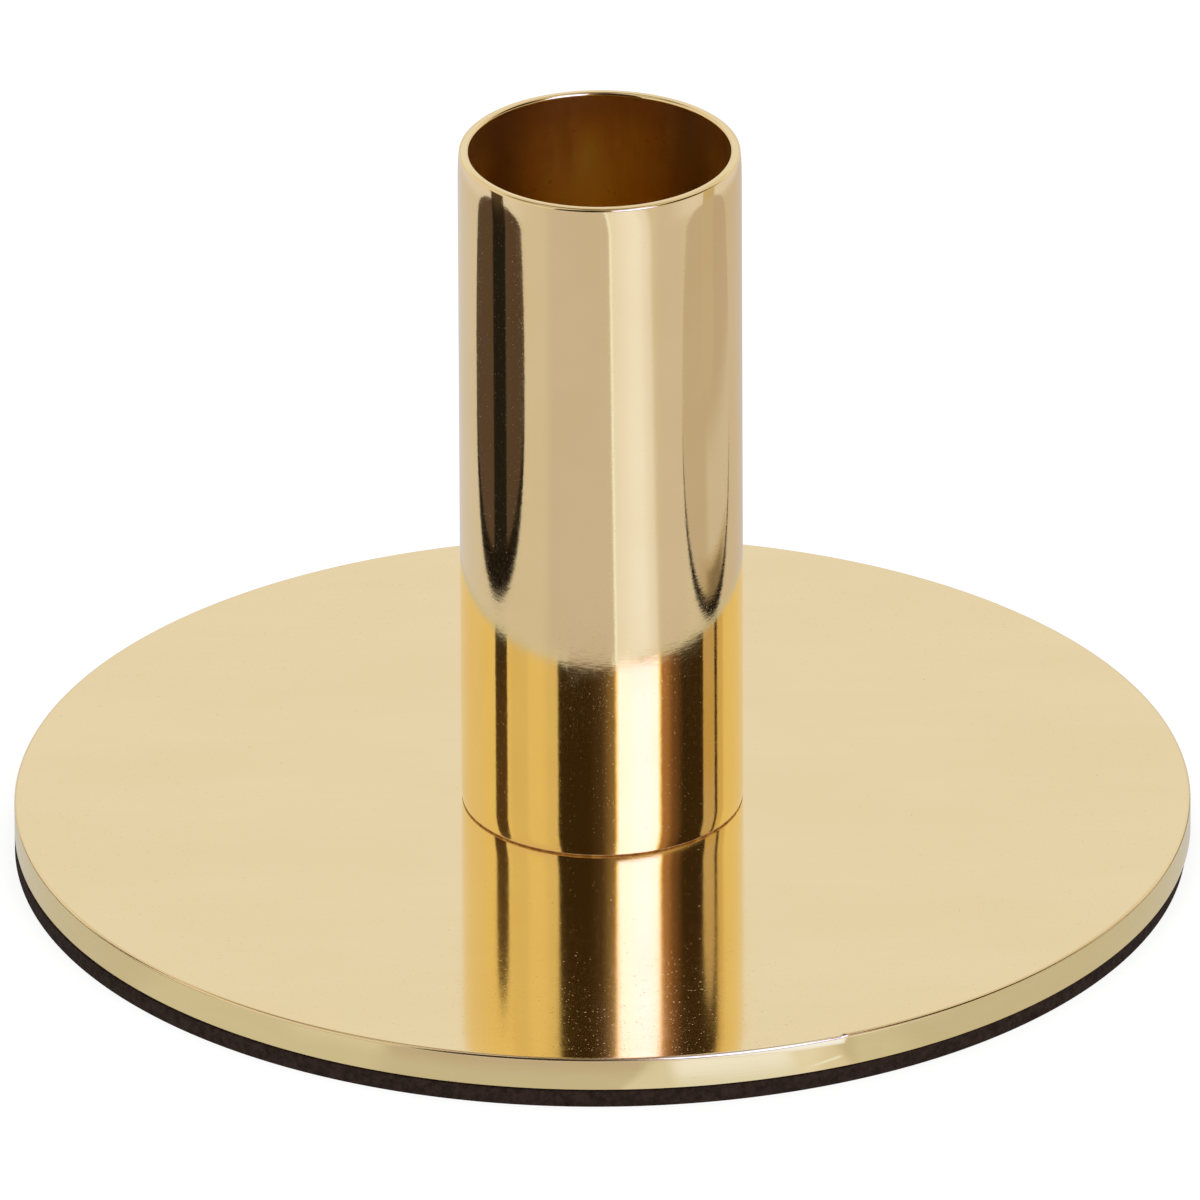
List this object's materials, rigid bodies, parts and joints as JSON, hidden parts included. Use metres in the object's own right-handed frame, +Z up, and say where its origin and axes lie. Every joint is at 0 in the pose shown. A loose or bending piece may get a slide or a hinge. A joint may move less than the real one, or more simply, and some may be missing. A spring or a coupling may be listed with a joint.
{
  "type": "candle holder",
  "caption": "Free-standing holder for one thin dinner candle: an open upright brass tube fixed on a flat round brass plate with a foam pad underneath.",
  "frame": {"origin": "on the table, under the centre of the pad", "axes": "+Z up along the axis of the tube and plate; +X and +Y are free, because the object is round"},
  "size_m": [0.1, 0.1, 0.065],
  "materials": {
    "polished_brass": "mirror polished, clear lacquered",
    "turned_brass": "as turned",
    "foam_pad": "matt closed-cell foam",
    "adhesive_film": "acrylic adhesive film",
    "zinc_steel": "zinc plated"
  },
  "bodies": {
    "root": {"base_plate": "polished_brass", "candle_tube": "polished_brass", "tube_plug": "turned_brass", "base_pad": "foam_pad", "pad_adhesive": "adhesive_film", "base_screw": "zinc_steel"}
  },
  "joints": []
}
